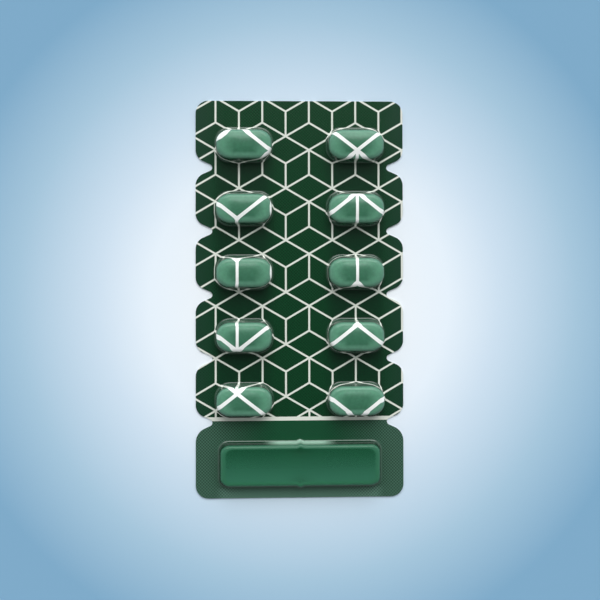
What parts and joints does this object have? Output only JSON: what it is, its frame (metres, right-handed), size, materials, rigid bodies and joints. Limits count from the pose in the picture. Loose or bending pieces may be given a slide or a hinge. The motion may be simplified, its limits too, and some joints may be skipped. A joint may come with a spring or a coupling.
{
  "type": "blister pack",
  "caption": "Flat formed-film pack with rows of sealed pellet pockets, one long empty pocket, notched long edges and a thin sealed foil back.",
  "frame": {"origin": "middle of the underside of the lidding foil, which is the face the pack lies on", "axes": "+X across the pack to the right, +Y along it towards the end with the pellets, +Z out of the pockets, away from the foil"},
  "size_m": [0.065, 0.124, 0.0063],
  "materials": {
    "film": "satin green see-through film with a fine seal pattern",
    "ink": "thin white lines printed on the outside of the film, stretched with it on the pockets",
    "foil": "satin, with a fine seal pattern",
    "pellet": "smooth sugar-like coating, slightly glossy"
  },
  "bodies": {
    "root": {"lidding_foil": "foil", "forming_film": "film", "printed_lattice": "ink", "pellet_row1_left": "pellet", "pellet_row1_right": "pellet", "pellet_row2_left": "pellet", "pellet_row2_right": "pellet", "pellet_row3_left": "pellet", "pellet_row3_right": "pellet", "pellet_row4_left": "pellet", "pellet_row4_right": "pellet", "pellet_row5_left": "pellet", "pellet_row5_right": "pellet"}
  },
  "joints": []
}
